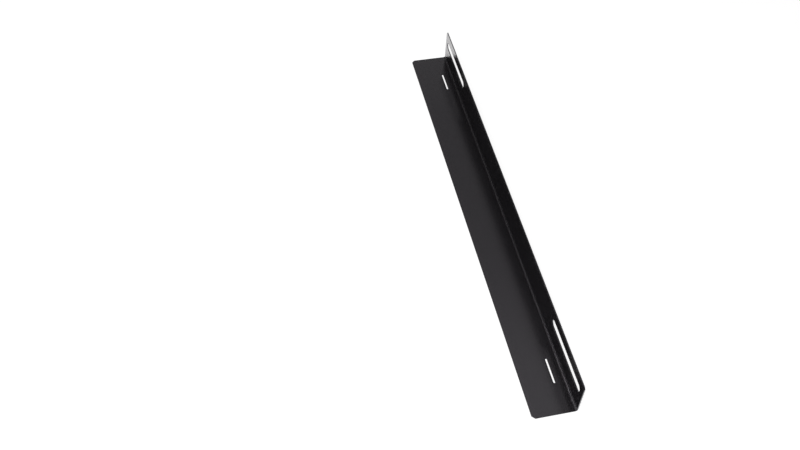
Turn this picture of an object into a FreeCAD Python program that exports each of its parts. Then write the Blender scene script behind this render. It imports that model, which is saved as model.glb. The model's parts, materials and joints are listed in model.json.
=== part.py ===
"""Fixed rack rail: one sheet-steel blank folded to an L, with adjusting slots near both ends.

X is across the rack, Y along the rack's depth, Z up. The seat lies on Z = 0 and carries the equipment;
the wall stands at +X and is screwed to the rack's posts. Both ends are alike, so a rail turned end for
end serves the other side of the rack. Millimetres.
"""
import os

import FreeCAD
import Part
from FreeCAD import Vector

# Driving dimensions of the folded sheet
LENGTH = 540.0
SEAT_WIDTH = 47.0
WALL_HEIGHT = 44.0
SHEET = 1.2
BEND_INNER_RADIUS = 1.5
SEAT_CORNER_CUT = 3.2
WALL_CORNER_CUT = 2.4
EDGE_ROUND = 0.2

# Slots, the same pair at each end, both centred at one station along the rail
SLOT_STATION = 48.5
WALL_SLOT_LENGTH = 83.0
WALL_SLOT_WIDTH = 9.4
WALL_SLOT_HEIGHT = 28.0
SEAT_SLOT_LENGTH = 29.0
SEAT_SLOT_WIDTH = 1.9
SEAT_SLOT_INSET = 12.9

# Places worked out from the dimensions above
OUTER_X = SEAT_WIDTH / 2
INNER_X = OUTER_X - SHEET
FREE_X = -SEAT_WIDTH / 2
HALF_LENGTH = LENGTH / 2
BEND_OUTER_RADIUS = BEND_INNER_RADIUS + SHEET
STATIONS = (-HALF_LENGTH + SLOT_STATION, HALF_LENGTH - SLOT_STATION)
TOLERANCE = 1e-4


def arc(centre_x, centre_z, radius, start, middle, end):
    """Arc in the section plane; each direction is an (x, z) pair of unit length from the centre."""
    places = [Vector(centre_x + radius * x, 0, centre_z + radius * z) for x, z in (start, middle, end)]
    return Part.Arc(*places).toShape()


def line(start, end):
    """Straight run in the section plane between two (x, z) places."""
    return Part.LineSegment(Vector(start[0], 0, start[1]), Vector(end[0], 0, end[1])).toShape()


def folded_sheet():
    """The L section, with a true bend of constant thickness, run along the length."""
    diagonal = 0.5 ** 0.5
    centre_x = INNER_X - BEND_INNER_RADIUS
    centre_z = SHEET + BEND_INNER_RADIUS
    down, corner, outward = (0, -1), (diagonal, -diagonal), (1, 0)
    section = Part.Wire([
        line((FREE_X, 0), (centre_x, 0)),
        arc(centre_x, centre_z, BEND_OUTER_RADIUS, down, corner, outward),
        line((OUTER_X, centre_z), (OUTER_X, WALL_HEIGHT)),
        line((OUTER_X, WALL_HEIGHT), (INNER_X, WALL_HEIGHT)),
        line((INNER_X, WALL_HEIGHT), (INNER_X, centre_z)),
        arc(centre_x, centre_z, BEND_INNER_RADIUS, outward, corner, down),
        line((centre_x, SHEET), (FREE_X, SHEET)),
        line((FREE_X, SHEET), (FREE_X, 0)),
    ])
    sheet = Part.Face(section).extrude(Vector(0, LENGTH, 0))
    sheet.translate(Vector(0, -HALF_LENGTH, 0))
    return sheet


def cut_corners(sheet):
    """Cuts the free corners off at 45 degrees, two on the seat and two smaller ones on the wall."""
    for cut, axis, rim in ((SEAT_CORNER_CUT, "x", FREE_X), (WALL_CORNER_CUT, "z", WALL_HEIGHT)):
        corners = []
        for edge in sheet.Edges:
            middle = edge.CenterOfMass
            at_end = abs(abs(middle.y) - HALF_LENGTH) < TOLERANCE
            on_rim = abs(getattr(middle, axis) - rim) < TOLERANCE
            if at_end and on_rim:
                corners.append(edge)
        sheet = sheet.makeChamfer(cut, corners)
    return sheet


def slot_punch(length, width, normal, side):
    """A round-ended punch along Y, centred on the origin, one sheet deep both ways along its normal."""
    radius = width / 2
    run = Vector(0, length / 2 - radius, 0)
    reach = normal * SHEET
    edges = [
        Part.LineSegment(side * radius - run, side * radius + run).toShape(),
        Part.Arc(side * radius + run, run + Vector(0, radius, 0), run - side * radius).toShape(),
        Part.LineSegment(run - side * radius, -run - side * radius).toShape(),
        Part.Arc(-run - side * radius, -run - Vector(0, radius, 0), side * radius - run).toShape(),
    ]
    outline = Part.Face(Part.Wire(edges))
    outline.translate(-reach)
    return outline.extrude(reach * 2)


def punch_slots(sheet):
    """Long slots through the wall for the post screws, short narrow ones through the seat by the fold."""
    across, upward = Vector(1, 0, 0), Vector(0, 0, 1)
    wall_middle = OUTER_X - SHEET / 2
    for station in STATIONS:
        wall_slot = slot_punch(WALL_SLOT_LENGTH, WALL_SLOT_WIDTH, across, upward)
        wall_slot.translate(Vector(wall_middle, station, WALL_SLOT_HEIGHT))
        seat_slot = slot_punch(SEAT_SLOT_LENGTH, SEAT_SLOT_WIDTH, upward, across)
        seat_slot.translate(Vector(OUTER_X - SEAT_SLOT_INSET, station, SHEET / 2))
        sheet = sheet.cut(wall_slot).cut(seat_slot)
    return sheet


def is_rim(edge, sheet):
    """True for an edge where a face of the sheet turns square into its cut side."""
    faces = sheet.ancestorsOfType(edge, Part.Face)
    middle = edge.valueAt((edge.FirstParameter + edge.LastParameter) / 2)
    normals = [face.normalAt(*face.Surface.parameter(middle)) for face in faces]
    return abs(normals[0].dot(normals[1])) < TOLERANCE


def round_rims(sheet):
    """Breaks every rim, the slots' too, by the small radius that deburring and coating leave."""
    return sheet.makeFillet(EDGE_ROUND, [edge for edge in sheet.Edges if is_rim(edge, sheet)])


rail = round_rims(punch_slots(cut_corners(folded_sheet())))
os.makedirs("parts", exist_ok=True)
rail.exportStep("parts/rail.step")
print("rail: valid", rail.isValid(), "solids", len(rail.Solids), "volume cm3", round(rail.Volume / 1000, 2))
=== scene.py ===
"""Looks of the fixed rack rail: one folded sheet in satin black powder coat, on a white studio floor.

The rail is made here as it is made in a workshop: the flat blank is cut and punched, gets its thickness,
has its rims rounded, and is folded line by line to an L. Metres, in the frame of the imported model.
"""

import json
import math

import bmesh
import bpy
from mathutils import Euler, Matrix, Vector


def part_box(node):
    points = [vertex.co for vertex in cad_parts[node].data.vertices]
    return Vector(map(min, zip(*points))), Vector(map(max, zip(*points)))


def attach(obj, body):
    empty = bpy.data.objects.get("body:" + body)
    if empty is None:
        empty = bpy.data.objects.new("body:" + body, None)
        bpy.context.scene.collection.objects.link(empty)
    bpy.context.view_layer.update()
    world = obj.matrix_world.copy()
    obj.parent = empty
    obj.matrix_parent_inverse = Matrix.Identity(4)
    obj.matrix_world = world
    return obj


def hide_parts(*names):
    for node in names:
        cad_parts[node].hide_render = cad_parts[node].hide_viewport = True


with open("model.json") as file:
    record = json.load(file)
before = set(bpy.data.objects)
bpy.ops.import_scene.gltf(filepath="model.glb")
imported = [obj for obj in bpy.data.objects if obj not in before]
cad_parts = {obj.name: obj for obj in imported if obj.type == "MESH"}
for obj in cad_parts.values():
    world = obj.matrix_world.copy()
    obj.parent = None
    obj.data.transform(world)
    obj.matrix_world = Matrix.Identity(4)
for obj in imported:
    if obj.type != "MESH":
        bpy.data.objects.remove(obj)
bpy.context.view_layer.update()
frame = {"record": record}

MM = 0.001

# Sizes of the folded rail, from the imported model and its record
mounts = {mount["name"]: mount for mount in frame["record"]["mounts"]}
RAIL_LOW, RAIL_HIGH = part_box("rail")
SHEET = mounts["seat_face"]["pos_m"][2]
FREE_EDGE = RAIL_LOW.x
OUTER_FACE = RAIL_HIGH.x
WALL_TOP = RAIL_HIGH.z
NEAR_END, FAR_END = RAIL_LOW.y, RAIL_HIGH.y

# Sizes that the record doesn't hold
BEND_INNER_RADIUS = 1.5 * MM
BEND_ANGLE = math.radians(90)
SEAT_CORNER_CUT = 3.2 * MM
WALL_CORNER_CUT = 2.4 * MM
EDGE_ROUND = 0.2 * MM

# Steps round the bend, across a rounded rim and round a slot's end
BEND_STEPS = 14
EDGE_STEPS = 3
SLOT_END_STEPS = 16

# A narrow flat strip on both sides of the bend, which keeps the bend's shading off the flats
BEND_LEAD = 0.2 * MM

# Each slot is set in a window that is larger than the slot by this much on every side
SLOT_MARGIN = 2.0 * MM

# Faces that meet at more than this angle meet at a rim
RIM_ANGLE = math.radians(40)

# Places that are closer than this are the same place
TOUCHING = 1e-6

# The flat blank: the seat, the strip that becomes the bend, and the wall, side by side
BEND_START = OUTER_FACE - SHEET - BEND_INNER_RADIUS
BEND_FLOOR = SHEET + BEND_INNER_RADIUS
BEND_STRIP = (BEND_INNER_RADIUS + SHEET / 2) * BEND_ANGLE
BLANK_EDGE = BEND_START + BEND_STRIP + WALL_TOP - BEND_FLOOR
BEND_LINES = [BEND_START + BEND_STRIP * step / BEND_STEPS for step in range(BEND_STEPS + 1)]

# The coat's patterns, as features per metre: the drift of tone and gloss, the orange peel and the grain
DRIFT_SCALE = 24.0
DRIFT_DETAIL = 3.0
PEEL_SCALE = 900.0
GRAIN_SCALE = 2600.0
RELIEF_DETAIL = 2.0
PEEL_HEIGHT = 0.12 * MM
GRAIN_HEIGHT = 0.03 * MM

# The two ends of the drift: the pattern's value, and the tone and roughness that go with it
DRIFT_LOW = 0.3
DRIFT_HIGH = 0.7
TONE_LOW = (0.0060, 0.0054, 0.0062, 1)
TONE_HIGH = (0.0074, 0.0067, 0.0076, 1)
ROUGHNESS_LOW = 0.2
ROUGHNESS_HIGH = 0.24

# The coat's sheen: the pigmented body, and the clear film on top of it
BODY_IOR = 1.8
BODY_SHEEN_TINT = (0.95, 0.86, 1, 1)
FILM_WEIGHT = 1.0
FILM_IOR = 1.6
FILM_ROUGHNESS = 0.22

# The floor's reach from its middle, and its gap below the rail
FLOOR_REACH = 20.0
FLOOR_GAP = 0.02 * MM

# What the eye sees of the floor: a glow and a lit part, which make white together outside the shadow
FLOOR_GLOW = 0.83
FLOOR_LIT = 0.53

# What the coat mirrors of the floor: white, with a painted shade within this reach of the sheet, and how deep
# that painted shade is
FLOOR_SHADE_REACH = 30 * MM
FLOOR_SHADE_DEPTH = 2.5
FLOOR_SHADE_SAMPLES = 8

# How much light the floor throws back on to the rail, and how bright the room is round the lights
FLOOR_BOUNCE = 0.75
ROOM_TONE = 0.022

# Soft lights: each one's name, place, the point it faces, width and height, and how brightly it glows
ORIGIN = (0, 0, 0)
SOFTBOXES = (
    # This one lights the rail and the floor from the camera's side
    ("front_top_box", (-0.5, -0.9, 1.6), ORIGIN, (1.4, 1.0), 3.9),
    # The seat mirrors these
    ("back_top_box", (0.47, 0.96, 1.95), ORIGIN, (1.3, 1.55), 0.188),
    ("top_box", (0.4, 0.53, 2.0), ORIGIN, (1.0, 0.87), 0.212),
    ("far_top_box", (0.5, 2.5, 1.74), ORIGIN, (1.0, 0.65), 0.284),
    # The bend mirrors these as a line of light
    ("overhead_strip", (-0.1, 1.45, 2.0), (-0.1, 1.45, 0), (0.3, 2.1), 0.26),
    ("overhead_front_box", (-0.1, 0.62, 1.95), (-0.1, 0.62, 0), (0.3, 0.5), 1.02),
    ("overhead_far_box", (-0.1, 2.35, 1.95), (-0.1, 2.35, 0), (0.3, 0.6), 0.13),
    ("left_strip", (-1.3, 1.15, 0.75), (0, 1.15, 0), (1.9, 0.36), 0.35),
    ("left_middle_box", (-1.27, 0.98, 0.74), (0, 0.98, 0), (0.75, 0.36), 0.22),
    ("left_front_box", (-1.25, 0.34, 0.72), (0, 0.34, 0), (0.42, 0.35), 3.1),
)

# Camera, fitted to the picture's 800 by 450 frame; its turn is in degrees, its lens and sensor in millimetres
CAMERA_PLACE = (-0.26072, -0.65033, 0.80942)
CAMERA_TURN = (39.411, -1.574, -12.169)
CAMERA_LENS = 41.201
CAMERA_SENSOR = 36.0


def flat_place(height):
    """Place across the flat blank of a point that ends up at this height on the wall."""
    return BEND_START + BEND_STRIP + height - BEND_FLOOR


def slots():
    """Middle, length and radius of every slot on the flat blank."""
    found = []
    for name, across in (("tie_slots", mounts["tie_slots"]["pos_m"][0]),
                         ("post_slots", flat_place(mounts["post_slots"]["pos_m"][2]))):
        sizes = mounts[name]["dims"]
        spacing = sizes.get("spacing_x_mm") or sizes["spacing_y_mm"]
        for end in (-1, 1):
            middle = Vector((across, end * spacing / 2 * MM, 0))
            found.append((middle, sizes["slot_length_mm"] * MM, sizes["hole_r_mm"] * MM))
    return found


def cut_line(sheet, place, normal, drop_beyond=False):
    """Cuts the flat sheet along a line, and drops what is beyond it if asked."""
    everything = sheet.verts[:] + sheet.edges[:] + sheet.faces[:]
    bmesh.ops.bisect_plane(sheet, geom=everything, plane_co=place, plane_no=normal,
                           dist=TOUCHING, clear_outer=drop_beyond)


def cut_blank():
    """The blank with its four free corners cut off, and marked along the bend's lines."""
    blank = bmesh.new()
    # A square one metre wide, stretched to the blank's sides
    bmesh.ops.create_grid(blank, x_segments=1, y_segments=1, size=0.5)
    bmesh.ops.scale(blank, verts=blank.verts, vec=(BLANK_EDGE - FREE_EDGE, FAR_END - NEAR_END, 1))
    middle = ((BLANK_EDGE + FREE_EDGE) / 2, (FAR_END + NEAR_END) / 2, 0)
    bmesh.ops.translate(blank, verts=blank.verts, vec=middle)
    for place in (BEND_LINES[0] - BEND_LEAD, *BEND_LINES, BEND_LINES[-1] + BEND_LEAD):
        cut_line(blank, (place, 0, 0), (1, 0, 0))
    for across, side, cut in ((FREE_EDGE, -1, SEAT_CORNER_CUT), (BLANK_EDGE, 1, WALL_CORNER_CUT)):
        for along, end in ((NEAR_END, -1), (FAR_END, 1)):
            cut_line(blank, (across - side * cut, along, 0), (side, end, 0), drop_beyond=True)
    return blank


def slot_rim(blank, middle, length, radius):
    """Draws the closed line of a round-ended slot as new edges, and gives one of its vertices."""
    arcs = []
    for end in (1, -1):
        centre = middle + Vector((0, end * (length / 2 - radius), 0))
        start = bmesh.ops.create_vert(blank, co=centre + Vector((end * radius, 0, 0)))["vert"][0]
        turned = bmesh.ops.spin(blank, geom=[start], cent=centre, axis=(0, 0, 1), angle=math.pi,
                                steps=SLOT_END_STEPS)
        last = next(item for item in turned["geom_last"] if isinstance(item, bmesh.types.BMVert))
        arcs.append((start, last))
    (right_top, left_top), (left_low, right_low) = arcs
    blank.edges.new((left_top, left_low))
    blank.edges.new((right_low, right_top))
    return right_top


def loop_from(vert):
    """Every edge of the closed line that this vertex is on, in the order of a walk along it."""
    edges, todo = [], [vert]
    while todo:
        for edge in todo.pop().link_edges:
            if edge not in edges:
                edges.append(edge)
                todo.extend(edge.verts)
    return edges


def punch_slot(blank, middle, length, radius):
    """Opens a window round the slot and fills what lies between the window and the slot's rim."""
    half = Vector((radius + SLOT_MARGIN, length / 2 + SLOT_MARGIN, 0))
    for normal, reach in (((1, 0, 0), half.x), ((0, 1, 0), half.y)):
        for side in (-1, 1):
            cut_line(blank, middle + side * reach * Vector(normal), normal)
    window = []
    for face in blank.faces:
        offset = face.calc_center_median() - middle
        if abs(offset.x) < half.x and abs(offset.y) < half.y:
            window.append(face)
    inside = set(window)
    border = [edge for face in window for edge in face.edges if not set(edge.link_faces) <= inside]
    bmesh.ops.delete(blank, geom=window, context="FACES")
    rim = loop_from(slot_rim(blank, middle, length, radius))
    bmesh.ops.triangle_fill(blank, edges=border + rim, use_beauty=True, normal=(0, 0, 1))


def thicken(blank):
    """Gives the flat blank its thickness, upwards from the floor."""
    bmesh.ops.recalc_face_normals(blank, faces=blank.faces)
    made = bmesh.ops.extrude_face_region(blank, geom=blank.faces[:], use_keep_orig=True)
    raised = [item for item in made["geom"] if isinstance(item, bmesh.types.BMVert)]
    bmesh.ops.translate(blank, verts=raised, vec=(0, 0, SHEET))
    bmesh.ops.recalc_face_normals(blank, faces=blank.faces)


def round_rims(blank):
    """Breaks every rim, the slots' too, by the small round that deburring and coating leave."""
    rims = [edge for edge in blank.edges if edge.is_manifold and edge.calc_face_angle() > RIM_ANGLE]
    bmesh.ops.bevel(blank, geom=rims, offset=EDGE_ROUND, offset_type="OFFSET", affect="EDGES",
                    segments=EDGE_STEPS, profile=0.5, material=-1, clamp_overlap=True,
                    face_strength_mode="ALL")


def fold(blank):
    """Turns the strip up round the bend's axis line by line, and the wall with its last line."""
    axis = Vector((BEND_START, 0, BEND_FLOOR))
    lines = [[vert for vert in blank.verts if abs(vert.co.x - place) < TOUCHING] for place in BEND_LINES]
    lines[-1] = [vert for vert in blank.verts if vert.co.x > BEND_LINES[-1] - TOUCHING]
    for step, verts in enumerate(lines):
        turn = Matrix.Rotation(-BEND_ANGLE * step / BEND_STEPS, 3, "Y")
        bmesh.ops.translate(blank, verts=verts, vec=(BEND_START - BEND_LINES[step], 0, 0))
        bmesh.ops.rotate(blank, verts=verts, cent=axis, matrix=turn)


def make_object(name, shape):
    """A new object in the scene, with the shape as its mesh."""
    mesh = bpy.data.meshes.new(name)
    shape.to_mesh(mesh)
    shape.free()
    piece = bpy.data.objects.new(name, mesh)
    bpy.context.scene.collection.objects.link(piece)
    return piece


def make_rail():
    """The whole folded rail as one mesh object."""
    sheet = cut_blank()
    for middle, length, radius in slots():
        punch_slot(sheet, middle, length, radius)
    thicken(sheet)
    round_rims(sheet)
    fold(sheet)
    for face in sheet.faces:
        face.smooth = True
    folded = make_object("folded_rail", sheet)
    shading = folded.modifiers.new("flat_faces_stay_flat", "WEIGHTED_NORMAL")
    shading.mode = "CORNER_ANGLE"
    shading.use_face_influence = True
    return folded


def grey(level):
    """A plain grey of this level."""
    return (level, level, level, 1)


def add_node(tree, kind, **values):
    """A new node with its sockets set by name."""
    node = tree.nodes.new(kind)
    for name, value in values.items():
        node.inputs[name.replace("_", " ")].default_value = value
    return node


def add_math(tree, operation, first, second):
    """The output of a new Math node; each input is a socket or a number."""
    node = tree.nodes.new("ShaderNodeMath")
    node.operation = operation
    for socket, value in zip(node.inputs, (first, second)):
        if isinstance(value, (int, float)):
            socket.default_value = value
        else:
            tree.links.new(value, socket)
    return node.outputs[0]


def add_mix(tree, choice, first, second):
    """A new Mix Shader node: the first shader where the choice is 0, the second where it is 1."""
    mix = tree.nodes.new("ShaderNodeMixShader")
    tree.links.new(choice, mix.inputs["Fac"])
    tree.links.new(first.outputs[0], mix.inputs[1])
    tree.links.new(second.outputs[0], mix.inputs[2])
    return mix


def add_pattern(tree, place, scale, detail):
    """The value of a new noise pattern that is fixed to the piece."""
    noise = add_node(tree, "ShaderNodeTexNoise", Scale=scale, Detail=detail)
    tree.links.new(place.outputs["Object"], noise.inputs["Vector"])
    return noise.outputs["Fac"]


def add_relief(tree, pattern, height):
    """A new Bump node that raises the surface by a pattern."""
    relief = add_node(tree, "ShaderNodeBump", Strength=1.0, Distance=height)
    tree.links.new(pattern, relief.inputs["Height"])
    return relief


def powder_coat():
    """Satin black powder coat: orange peel, fine grain, and slight drift of tone and gloss."""
    material = bpy.data.materials.new("powder_coat")
    material.use_nodes = True
    tree = material.node_tree
    shader = tree.nodes["Principled BSDF"]
    place = tree.nodes.new("ShaderNodeTexCoord")
    drift = add_pattern(tree, place, DRIFT_SCALE, DRIFT_DETAIL)
    tone = tree.nodes.new("ShaderNodeValToRGB")
    ends = ((DRIFT_LOW, TONE_LOW), (DRIFT_HIGH, TONE_HIGH))
    for stop, (value, colour) in zip(tone.color_ramp.elements, ends):
        stop.position = value
        stop.color = colour
    tree.links.new(drift, tone.inputs["Fac"])
    tree.links.new(tone.outputs["Color"], shader.inputs["Base Color"])
    gloss = add_node(tree, "ShaderNodeMapRange", From_Min=DRIFT_LOW, From_Max=DRIFT_HIGH,
                     To_Min=ROUGHNESS_LOW, To_Max=ROUGHNESS_HIGH)
    tree.links.new(drift, gloss.inputs["Value"])
    tree.links.new(gloss.outputs["Result"], shader.inputs["Roughness"])
    peel = add_relief(tree, add_pattern(tree, place, PEEL_SCALE, RELIEF_DETAIL), PEEL_HEIGHT)
    grain = add_relief(tree, add_pattern(tree, place, GRAIN_SCALE, RELIEF_DETAIL), GRAIN_HEIGHT)
    tree.links.new(peel.outputs["Normal"], grain.inputs["Normal"])
    tree.links.new(grain.outputs["Normal"], shader.inputs["Normal"])
    shader.inputs["IOR"].default_value = BODY_IOR
    shader.inputs["Specular Tint"].default_value = BODY_SHEEN_TINT
    shader.inputs["Coat Weight"].default_value = FILM_WEIGHT
    shader.inputs["Coat IOR"].default_value = FILM_IOR
    shader.inputs["Coat Roughness"].default_value = FILM_ROUGHNESS
    return material


def studio_white():
    """White to the eye, with a lit part that keeps the rail's shadow.

    In reflections its glow carries a painted shade close to the sheet, which stands in for the little light
    that gets in there. What it throws back on to the rail is plain lit white.
    """
    material = bpy.data.materials.new("studio_white")
    material.use_nodes = True
    tree = material.node_tree
    tree.nodes.remove(tree.nodes["Principled BSDF"])
    lit = add_node(tree, "ShaderNodeBsdfDiffuse", Color=grey(FLOOR_LIT))
    glow = add_node(tree, "ShaderNodeEmission", Color=grey(1), Strength=FLOOR_GLOW)
    seen = tree.nodes.new("ShaderNodeAddShader")
    tree.links.new(lit.outputs[0], seen.inputs[0])
    tree.links.new(glow.outputs[0], seen.inputs[1])
    # Painted shade: the glow that the coat mirrors is darkened by the floor's openness near the sheet, raised
    # to a power
    openness = add_node(tree, "ShaderNodeAmbientOcclusion", Distance=FLOOR_SHADE_REACH)
    openness.samples = FLOOR_SHADE_SAMPLES
    mirrored = add_node(tree, "ShaderNodeEmission", Color=grey(1))
    painted_shade = add_math(tree, "POWER", openness.outputs["AO"], FLOOR_SHADE_DEPTH)
    tree.links.new(painted_shade, mirrored.inputs["Strength"])
    bounce = add_node(tree, "ShaderNodeBsdfDiffuse", Color=grey(FLOOR_BOUNCE))
    rays = tree.nodes.new("ShaderNodeLightPath").outputs
    eye_or_gloss = add_math(tree, "MAXIMUM", rays["Is Camera Ray"], rays["Is Glossy Ray"])
    sight = add_math(tree, "MAXIMUM", eye_or_gloss, rays["Is Transmission Ray"])
    shown = add_mix(tree, rays["Is Camera Ray"], mirrored, seen)
    surface = add_mix(tree, sight, bounce, shown)
    tree.links.new(surface.outputs[0], tree.nodes["Material Output"].inputs["Surface"])
    return material


def lay_floor():
    """A wide plain floor under the rail."""
    sheet = bmesh.new()
    bmesh.ops.create_grid(sheet, x_segments=1, y_segments=1, size=FLOOR_REACH)
    floor = make_object("studio_floor", sheet)
    floor.location.z = -FLOOR_GAP
    floor.data.materials.append(studio_white())


def softbox(name, place, aim, size, radiance):
    """A rectangular soft light with an even glow, turned towards a point."""
    lamp = bpy.data.lights.new(name, "AREA")
    lamp.shape = "RECTANGLE"
    lamp.size, lamp.size_y = size
    lamp.energy = radiance * math.pi * size[0] * size[1]
    box = bpy.data.objects.new(name, lamp)
    bpy.context.scene.collection.objects.link(box)
    box.location = place
    box.rotation_euler = (Vector(aim) - Vector(place)).to_track_quat("-Z", "Y").to_euler()
    box.visible_camera = False


def studio_room():
    """A dim room round the lights."""
    world = bpy.data.worlds.new("studio_room")
    bpy.context.scene.world = world
    world.use_nodes = True
    world.node_tree.nodes["Background"].inputs["Color"].default_value = grey(ROOM_TONE)


def set_camera():
    """The picture's own view of the rail."""
    lens = bpy.data.cameras.new("camera")
    lens.lens = CAMERA_LENS
    lens.sensor_width = CAMERA_SENSOR
    camera = bpy.data.objects.new("camera", lens)
    bpy.context.scene.collection.objects.link(camera)
    camera.location = CAMERA_PLACE
    camera.rotation_euler = Euler([math.radians(turn) for turn in CAMERA_TURN], "XYZ")
    bpy.context.scene.camera = camera


rail = make_rail()
rail.data.materials.append(powder_coat())
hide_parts("rail")
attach(rail, "root")

lay_floor()
studio_room()
for box in SOFTBOXES:
    softbox(*box)
set_camera()
bpy.context.scene.view_settings.view_transform = "Standard"
